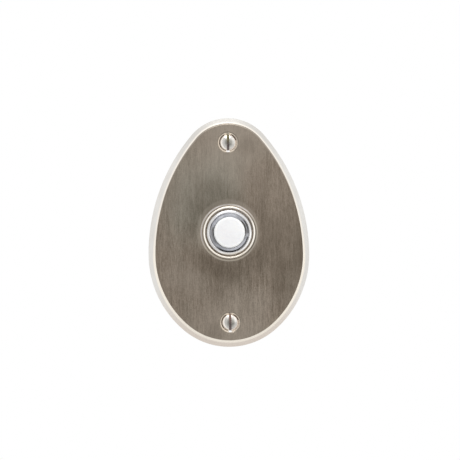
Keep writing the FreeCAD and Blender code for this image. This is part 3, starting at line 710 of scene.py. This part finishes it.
y_crown, y_cap_end = -10.05, -5.9
cap_radius, cap_wall, cap_top, dome_height, dome_run, edge_run = 6.1, 0.95, 1.1, 0.3, 2.4, 0.6
cap_white, shader, place = new_finish("white_translucent_plastic", Subsurface_Weight=0.35, Coat_Weight=0.25,
                                      Subsurface_Radius=(1.0, 0.95, 0.9), Subsurface_Scale=0.0012)
flow = grain(place, 0.25, 0.25, 0.25, 2)
wear = grain(place, 3, 3, 3, 3)
# Painted highlight: the cap is lighter towards its edge.
painted_edge_highlight = between(spot(place, 0, 0, 4.2, 6.1), 0.75, 0.2)
colour = blend(flow, shade(239, 238, 239), shade(243, 243, 243))
colour = tint(colour, painted_edge_highlight, 248, 249, 248)
feed(shader, Base_Color=colour, Roughness=0.3 + wear * 0.08, Normal=relief(wear, 0.002))
cap = turned([
    (0, y_crown),
    (cap_radius / 2, y_crown, dome_run),
    (cap_radius, y_crown + dome_height, edge_run),
    (cap_radius, y_cap_end),
    (cap_radius - cap_wall, y_cap_end),
    (cap_radius - cap_wall, y_crown + cap_top, edge_run / 2),
    (0, y_crown + cap_top),
])
finish_piece(cap, "cap", cap_white, "push_cap", "button")


# Plunger: the hollow moulded carrier under the cap, in natural plastic. Its tube fills the cap and its flange stops
# under the bushing.

y_plunger_top = y_crown + cap_top + 0.05
y_plunger_flange, y_plunger_end = -2.85, -1.75
plunger_bore, plunger_tube, plunger_flange = 4.05, 5.1, 6.9
natural = mottled("natural_plastic", 0.6, shade(222, 219, 208), shade(234, 232, 224), 0.42, 0.12, 0.01,
                  Subsurface_Weight=0.2, Subsurface_Scale=0.001)
plunger = turned([
    (plunger_bore, y_plunger_top),
    (plunger_tube, y_plunger_top, 0.15),
    (plunger_tube, y_cap_end),
    (cap_radius, y_cap_end),
    (cap_radius, y_plunger_flange),
    (plunger_flange, y_plunger_flange, 0.15),
    (plunger_flange, y_plunger_end, 0.15),
    (plunger_bore, y_plunger_end),
], closed=True)
finish_piece(plunger, "plunger_carrier", natural, "plunger", "button")


# Contact ring: brass strip under the plunger. The spring holds it there, and when the cap is pressed it bridges the
# two posts.

y_ring_under, ring_inside, ring_outside = -1.35, 2.17, 6.6
brass = plated_metal("brass_sheet", shade(196, 160, 88), shade(226, 194, 122), 0.26, 0.005)
ring = turned([(ring_inside, y_plunger_end, 0.05), (ring_outside, y_plunger_end, 0.05),
               (ring_outside, y_ring_under, 0.1), (ring_inside, y_ring_under, 0.05)], closed=True)
finish_piece(ring, "bridging_ring", brass, "contact_ring", "button")


# Return spring: a coil of spring wire between the ring and the base, ground flat at both ends.

spring_radius, wire_radius, spring_turns, press = 2.47, 0.17, 4, 1.5
spring_length = y_base_front - y_ring_under
spring_wire = plated_metal("spring_wire", shade(150, 149, 148), shade(186, 185, 184), 0.28)
coil = bmesh.new()
pitch, coil_steps = spring_length / spring_turns, 48
wire_start = Matrix.Translation((spring_radius, y_ring_under - pitch / 2, 0))
section = bmesh.ops.create_circle(coil, segments=12, radius=wire_radius, matrix=wire_start)["verts"]
bmesh.ops.spin(coil, geom=section + coil.edges[:], cent=(0, 0, 0), axis=(0, 1, 0), dvec=(0, pitch / coil_steps, 0),
               angle=math.tau * (spring_turns + 1), steps=coil_steps * (spring_turns + 1))
for y, out in ((y_ring_under, -1), (y_base_front, 1)):
    trim(coil, y, out)
    bmesh.ops.contextual_create(coil, geom=open_edges(coil, y))
spring = finish_piece(coil, "coil_spring", spring_wire, "return_spring")
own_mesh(spring)


# Base: the disc of brown paper-filled phenolic board that closes the barrel. It is punched with holes for the two
# posts and the lamp's leads, and the barrel's lip is crimped over it.

base_radius, post_x, post_shank, lead_x, lead_radius = 7.22, 4.41, 1.39, 1.26, 0.2
hole_clearance = 0.05


def drill(bm, radius, y_from, y_to, x, steps):
    """Bores a hole along y through a closed shape that lies between two levels."""
    y_from, y_to = y_from - BEYOND, y_to + BEYOND
    return carve(bm, turned([(0, y_from), (radius, y_from), (radius, y_to), (0, y_to)], steps, x))


phenolic, shader, place = new_finish("brown_phenolic_board", Coat_Weight=0.2)
paper = grain(place, 0.5, 4, 1.6, 4, 0.65)
cloth = grain(place, 3, 1, 3, 2)
feed(shader, Base_Color=blend(paper, shade(98, 52, 30), shade(148, 92, 58)), Roughness=0.4 + cloth * 0.15,
     Normal=relief(cloth, 0.01))
board = turned([(0, y_base_front), (base_radius, y_base_front, 0.1), (base_radius, y_base_back, 0.1),
                (0, y_base_back)])
for x, radius in ((post_x, post_shank), (-post_x, post_shank), (lead_x, lead_radius), (-lead_x, lead_radius)):
    board = drill(board, radius + hole_clearance, y_base_front, y_base_back, x, 32)
finish_piece(board, "base_board", phenolic, "insulating_base")


# Terminals, one each side: a brass post riveted through the base with a rounded contact tip, a flat tongue with a
# solder tab, and a slotted screw and washer that clamp the bell wire.

y_post_tip, y_tongue_back, y_clamp_back = 0.19, 4.69, 5.09
post_tip, post_flange, post_flange_height, post_thread, thread_depth = 1.29, 1.59, 0.7, 0.99, 3.0
y_thread_floor, thread_clearance = y_tongue_back - thread_depth, 0.04
tongue_inside, tongue_outside, tongue_half, tab_reach, tab_length = 2.52, 6.0, 1.69, 1.0, 1.1
clamp_radius, head_radius, head_thickness, wire_slot, wire_slot_depth = 1.89, 1.74, 1.3, 0.6, 0.7
y_head = y_clamp_back + head_thickness

tarnished, shader, place = new_finish("tarnished_brass", Metallic=1.0)
height, depth = along(place, "Z"), along(place, "Y")
haze = grain(place, 0.3, 0.3, 0.3, 3)
in_slot = between(height * height, 0.1, 0.08) * between(depth, 5.3, 5.5) * between(depth, 6.3, 6.1)
colour = blend(haze, shade(196, 160, 88), shade(226, 194, 122))
feed(shader, Base_Color=blend(in_slot, colour, shade(96, 70, 36)),
     Roughness=0.26 + haze * 0.08 + in_slot * 0.3, Normal=relief(haze, 0.004))

for side, name in ((1, "right"), (-1, "left")):
    half_turn = Matrix.Rotation(0 if side > 0 else math.pi, 4, "Y")
    post = turned([
        (0, y_post_tip),
        (post_tip, y_post_tip, 0.35),
        (post_tip, y_base_front - post_flange_height),
        (post_flange, y_base_front - post_flange_height, 0.06),
        (post_flange, y_base_front),
        (post_shank, y_base_front),
        (post_shank, y_tongue_back),
        (post_thread, y_tongue_back, 0.1),
        (post_thread, y_thread_floor),
        (0, y_thread_floor),
    ], 48, side * post_x)
    finish_piece(post, "post_" + name, brass, "contact_post_" + name)

    tongue = block((tongue_inside, y_base_back, -tongue_half), (tongue_outside, y_tongue_back, tongue_half))
    tab = block((tongue_inside - tab_reach, y_base_back, tongue_half - tab_length),
                (tongue_inside + 0.5, y_tongue_back, tongue_half))
    tongue = carve(tongue, tab, "UNION")
    bmesh.ops.dissolve_limit(tongue, angle_limit=0.01, verts=tongue.verts, edges=tongue.edges)
    round_off(tongue, [edge for edge in tongue.edges if edge.calc_face_angle(0) > 1], 0.06, 2)
    tongue = drill(tongue, post_shank + hole_clearance, y_base_back, y_tongue_back, post_x, 48)
    bmesh.ops.transform(tongue, matrix=half_turn, verts=tongue.verts)
    finish_piece(tongue, "tongue_" + name, brass, "terminal_plate_" + name)

    clamp = turned([
        (post_thread + thread_clearance, y_tongue_back, 0.04),
        (clamp_radius, y_tongue_back, 0.06),
        (clamp_radius, y_clamp_back, 0.12),
        (post_thread + thread_clearance, y_clamp_back, 0.04),
    ], 48, side * post_x, closed=True)
    finish_piece(clamp, "wire_washer_" + name, brass, "clamp_washer_" + name)

    wire_screw = turned([
        (0, y_head),
        (head_radius, y_head, 0.45),
        (head_radius, y_clamp_back, 0.08),
        (post_thread - thread_clearance, y_clamp_back),
        (post_thread - thread_clearance, y_thread_floor + 0.05),
        (0, y_thread_floor + 0.05),
    ], 48, side * post_x)
    slot = block((side * post_x - head_radius - BEYOND, y_head - wire_slot_depth, -wire_slot / 2),
                 (side * post_x + head_radius + BEYOND, y_head + BEYOND, wire_slot / 2))
    wire_screw = carve(wire_screw, slot)
    finish_piece(wire_screw, "wire_screw_" + name, tarnished, "terminal_screw_" + name)


# Lamp: a small round-nosed amber lamp cast in clear resin. It stands on the base inside the spring and lights the cap
# from behind.

lamp_radius, lamp_collar, lamp_height, lamp_collar_height = 1.52, 1.92, 5.3, 0.9
resin = mottled("amber_resin", 1, shade(246, 214, 150), shade(253, 232, 190), 0.05, 0.05, 0.004,
                Transmission_Weight=0.85, IOR=1.5)
lamp = turned([
    (0, y_base_front - lamp_height),
    (lamp_radius, y_base_front - lamp_height, lamp_radius - 0.01),
    (lamp_radius, y_base_front - lamp_collar_height),
    (lamp_collar, y_base_front - lamp_collar_height, 0.1),
    (lamp_collar, y_base_front),
    (0, y_base_front),
], steps=48)
finish_piece(lamp, "lamp", resin, "led_lamp")


# Leads and resistor: the lamp's two tinned wires come through the base and are bent flat. One goes to the left tab,
# the other to a small lacquered resistor and on to the right tab, and both ends are soldered.

y_lead, resistor_z, resistor_left, resistor_right, tab_x, tab_z = 4.89, 3.3, -0.735, 1.495, 2.02, 1.14
resistor_radius, resistor_end, resistor_step = 0.7, 0.45, 0.1
lead_bend, solder_radius, solder_overlap = 0.26, 0.62, 0.35


def bent_wire(points, steps=16):
    """Round wire drawn out along each run and spun round each square bend."""
    here, *corners = [Vector(point) for point in points]
    wire = bmesh.new()
    heading = (corners[0] - here).normalized()
    facing = heading.to_track_quat("Z", "X").to_matrix().to_4x4()
    bmesh.ops.create_circle(wire, cap_ends=True, segments=steps, radius=lead_radius,
                            matrix=Matrix.Translation(here) @ facing)
    end = wire.faces[:]
    for corner, after in zip(corners, corners[1:] + [None]):
        stop = corner - heading * (lead_bend if after else 0)
        drawn = bmesh.ops.extrude_face_region(wire, geom=end)["geom"]
        bmesh.ops.translate(wire, verts=only(BMVert, drawn), vec=stop - here)
        end = only(BMFace, drawn)
        if after:
            onward = (after - corner).normalized()
            spun = bmesh.ops.spin(wire, geom=end, cent=stop + onward * lead_bend, axis=heading.cross(onward),
                                  angle=math.pi / 2, steps=6)["geom_last"]
            end = only(BMFace, spun)
            here, heading = corner + onward * lead_bend, onward
    inner = [face for face in wire.faces if all(len(edge.link_faces) > 2 for edge in face.edges)]
    bmesh.ops.delete(wire, geom=inner, context="FACES_ONLY")
    return wire


tin = plated_metal("tinned_wire", shade(176, 175, 172), shade(206, 205, 202), 0.3)
left_lead = [(-lead_x, y_base_front, 0), (-lead_x, y_lead, 0), (-lead_x, y_lead, resistor_z),
             (resistor_left, y_lead, resistor_z)]
right_lead = [(lead_x, y_base_front, 0), (lead_x, y_lead, 0), (lead_x, y_lead, -tab_z),
              (-tab_x - solder_overlap, y_lead, -tab_z)]
from_resistor = [(resistor_right, y_lead, resistor_z), (tab_x, y_lead, resistor_z),
                 (tab_x, y_lead, tab_z - solder_overlap)]
for name, node, points in (
    ("lamp_wire_left", "led_lead_left", left_lead),
    ("lamp_wire_right", "led_lead_right", right_lead),
    ("resistor_wire", "resistor_lead", from_resistor),
):
    finish_piece(bent_wire(points), name, tin, node)

lacquer, shader, place = new_finish("tan_lacquer_with_bands", Coat_Weight=0.4)
across = along(place, "X")
colour = blend(grain(place, 2, 2, 2), shade(196, 164, 112), shade(214, 184, 134))
for middle, band in ((-0.4, shade(120, 66, 34)), (0.05, shade(40, 36, 34)), (0.5, shade(120, 66, 34)),
                     (1.15, shade(186, 150, 70))):
    inside = between(across, middle - 0.13, middle - 0.09) * between(across, middle + 0.13, middle + 0.09)
    colour = blend(inside, colour, band)
feed(shader, Base_Color=colour, Roughness=0.3 + grain(place, 3, 3, 3) * 0.1)
resistor_length = resistor_right - resistor_left
resistor_waist, waist_start = resistor_radius - resistor_step, resistor_end + resistor_step
body = turned([
    (0, 0),
    (resistor_radius, 0, 0.25),
    (resistor_radius, resistor_end, 0.1),
    (resistor_waist, waist_start, 0.1),
    (resistor_waist, resistor_length - waist_start, 0.1),
    (resistor_radius, resistor_length - resistor_end, 0.1),
    (resistor_radius, resistor_length, 0.25),
    (0, resistor_length),
], steps=32)
laid = Matrix.Translation((resistor_left, y_lead, resistor_z)) @ Matrix.Rotation(-math.pi / 2, 4, "Z")
bmesh.ops.transform(body, verts=body.verts, matrix=laid)
finish_piece(body, "resistor_body", lacquer, "resistor")

solder = plated_metal("dull_solder", shade(150, 150, 150), shade(190, 190, 190), 0.36, 0.01)
for side, name in ((1, "right"), (-1, "left")):
    drop = turned([
        (0, y_tongue_back + solder_radius),
        (solder_radius, y_tongue_back + solder_radius, solder_radius - 0.02),
        (solder_radius, y_tongue_back),
        (0, y_tongue_back),
    ], 32, side * tab_x, side * tab_z)
    finish_piece(drop, "solder_" + name, solder, "solder_joint_" + name)


# Mounting screws: two slotted oval-head wood screws in nickel-plated steel, slots upright. They sit in the plate's
# countersinks, and brown grime has settled in the slots. The heads carry painted highlights round their rims and
# painted shade at their centres.

y_rim, y_head_crown, y_neck, y_tip = -5.305, -6.305, -3.29, 20.095
screw_head, screw_shank, dome_corner, dome_run, half_slot, y_slot_floor = 3.25, 1.5, 1.78, 1.76, 0.425, -5.055
y_shank_end, y_root_start, y_thread_top = -0.7, -0.45, -0.35
thread_root, thread_crest, thread_land, thread_pitch = 1.2, 1.75, 0.12, 1.4
point_length, point_share = 4.0, 0.12

screw_nickel, shader, place = new_finish("nickel_plated_steel")
across, depth = along(place, "X"), along(place, "Y")
haze = grain(place, 1.2, 0.6, 0.5, 3)
colour = blend(haze, shade(186, 183, 178), shade(215, 212, 207))
on_head = between(depth, -5, -5.3)
# Painted highlights round each head's rim, brightest towards the left.
head_rim_highlight_left = between(2 - at_screws(place, 0.7, 0.2, 2.7, 3.5), 1, 1.6) * on_head
head_rim_highlight = between(2 - at_screws(place, 0, 0, 2.6, 2.85), 1, 1.8) * on_head
colour = tint(colour, head_rim_highlight, 245, 236, 228)
colour = tint(colour, head_rim_highlight_left, 250, 243, 235)
# Painted shade at each head's centre.
painted_dark_centre = at_screws(place, 0.3, 0, 0.8, 2.4) * between(depth, -5.2, -5.6)
colour = tint(colour, painted_dark_centre * 0.8, 104, 103, 95)
in_slot = between(across * across, 0.3, 0.21) * between(depth, -4.2, -4.9)
grime = blend(spot(place, 0, screw_z + 3, 1, 4), shade(118, 106, 102), shade(146, 138, 100))
grime = tint(grime, spot(place, 0, -screw_z + 3, 1, 4), 158, 130, 118)
colour = blend(in_slot * 0.95, colour, grime)
# The painted highlight on the rim's lower right is made less metallic, so the lamps lift it.
highlit_lower_right = head_rim_highlight * at_screws(place, 2, -1.8, 0.8, 2)
feed(shader, Base_Color=colour, Roughness=0.22 + haze * 0.1 + in_slot * 0.3,
     Metallic=1 - in_slot * 0.8 - highlit_lower_right * 0.45, Normal=relief(haze, 0.002))
for name, z in (("top", screw_z), ("bottom", -screw_z)):
    screw = turned([
        (0, y_head_crown),
        (dome_corner, y_head_crown, dome_run),
        (screw_head, y_rim, 0.06),
        (screw_shank, y_neck, 0.3),
        (screw_shank, y_shank_end),
        (thread_root, y_root_start),
        (0, y_root_start),
    ], steps=64)
    slot = block((-half_slot, y_head_crown - BEYOND, -screw_head - BEYOND),
                 (half_slot, y_slot_floor, screw_head + BEYOND))
    screw = carve(screw, slot)
    end_cap = [face for face in screw.faces if abs(face.calc_center_median().y - y_root_start) < 0.01]
    bmesh.ops.delete(screw, geom=end_cap, context="FACES")
    wind_thread(screw, thread_root, thread_crest, thread_land, thread_pitch, y_thread_top, y_tip + thread_pitch, 40)
    trim(screw, y_tip, 1)
    bmesh.ops.contextual_create(screw, geom=open_edges(screw, y_tip))
    join_rings(screw, (y_root_start + y_thread_top) / 2)
    for vert in screw.verts:
        share = min(1.0, point_share + (1 - point_share) * (y_tip - vert.co.y) / point_length)
        vert.co.x *= share
        vert.co.z *= share
    bmesh.ops.translate(screw, verts=screw.verts, vec=(0, 0, z))
    finish_piece(screw, "screw_" + name, screw_nickel, "mounting_screw_" + name)


# Studio: a pale floor under the button, a large soft lamp high in front of it, a weaker one to the right, and a
# white surround. The camera stands where the photographer's did, level with the button and a little to its left.

WHITE = (1, 1, 1, 1)
floor_level = -0.12


def rays_that_show(start):
    """1 for a ray that shows what it meets, straight or in gloss or glass, and 0 for one that only carries light."""
    camera, glossy, through = [start.node("LightPath", {}, {}, f"Is {kind} Ray")
                               for kind in ("Camera", "Glossy", "Transmission")]
    return start.maths("MINIMUM", camera + glossy + through, 1)


grid = bmesh.new()
bmesh.ops.create_grid(grid, x_segments=1, y_segments=1, size=1.5, matrix=Matrix.Translation((0, 0, floor_level)))
mesh = bpy.data.meshes.new("floor")
grid.to_mesh(mesh)
grid.free()
floor = new_object("floor", mesh)
paint, shader, place = new_finish("pale_floor", Roughness=0.9, Base_Color=shade(236, 236, 236))
away = place.node("VectorMath", {"operation": "DISTANCE"}, {0: place, 1: (0, 0, floor_level * 1000)}, "Value")
glow = place.node("Emission", {}, {"Color": WHITE, "Strength": 1.0})
seen = rays_that_show(place) * (between(away, 60, 180) * 0.65 + 0.35)
mixed = place.node("MixShader", {}, {0: seen, 1: Wire(place.tree, shader.outputs[0]), 2: glow})
place.tree.links.new(mixed.socket, place.tree.nodes["Material Output"].inputs["Surface"])
mesh.materials.append(paint)

for name, position, size, power in (
    ("key_lamp", Vector((0.0, -0.45, 0.82)), 0.6, 5.0),
    ("fill_lamp", Vector((0.5, -0.8, 0.3)), 0.8, 1.5),
):
    light = bpy.data.lights.new(name, "AREA")
    light.size, light.energy = size, power
    lamp_stand = new_object(name, light)
    lamp_stand.location = position
    lamp_stand.rotation_euler = (-position).to_track_quat("-Z", "Y").to_euler()

world = bpy.data.worlds.new("white_surround")
bpy.context.scene.world = world
world.use_nodes = True
start = Wire(world.node_tree, None)
white = start.node("Background", {}, {"Color": WHITE, "Strength": 1.0})
soft = start.node("Background", {}, {"Color": WHITE, "Strength": 0.55})
surround = start.node("MixShader", {}, {0: rays_that_show(start), 1: soft, 2: white})
start.tree.links.new(surround.socket, start.tree.nodes["World Output"].inputs["Surface"])

camera = new_object("camera", bpy.data.cameras.new("camera"))
bpy.context.scene.camera = camera
azimuth, elevation, roll, distance = math.radians(-2.8), math.radians(-0.35), math.radians(-0.7), 0.6
aim = Vector((0.000335, -0.0065, 0.00096))
back = Vector((math.sin(azimuth), -math.cos(azimuth), 0)) * math.cos(elevation)
back.z = math.sin(elevation)
camera.location = aim + back * distance
level = (-back).to_track_quat("-Z", "Y").to_matrix()
camera.rotation_euler = (level @ Matrix.Rotation(roll, 3, "Z")).to_euler()
camera.data.sensor_width, camera.data.lens = 36, 119.55
bpy.context.scene.view_settings.view_transform = "Standard"
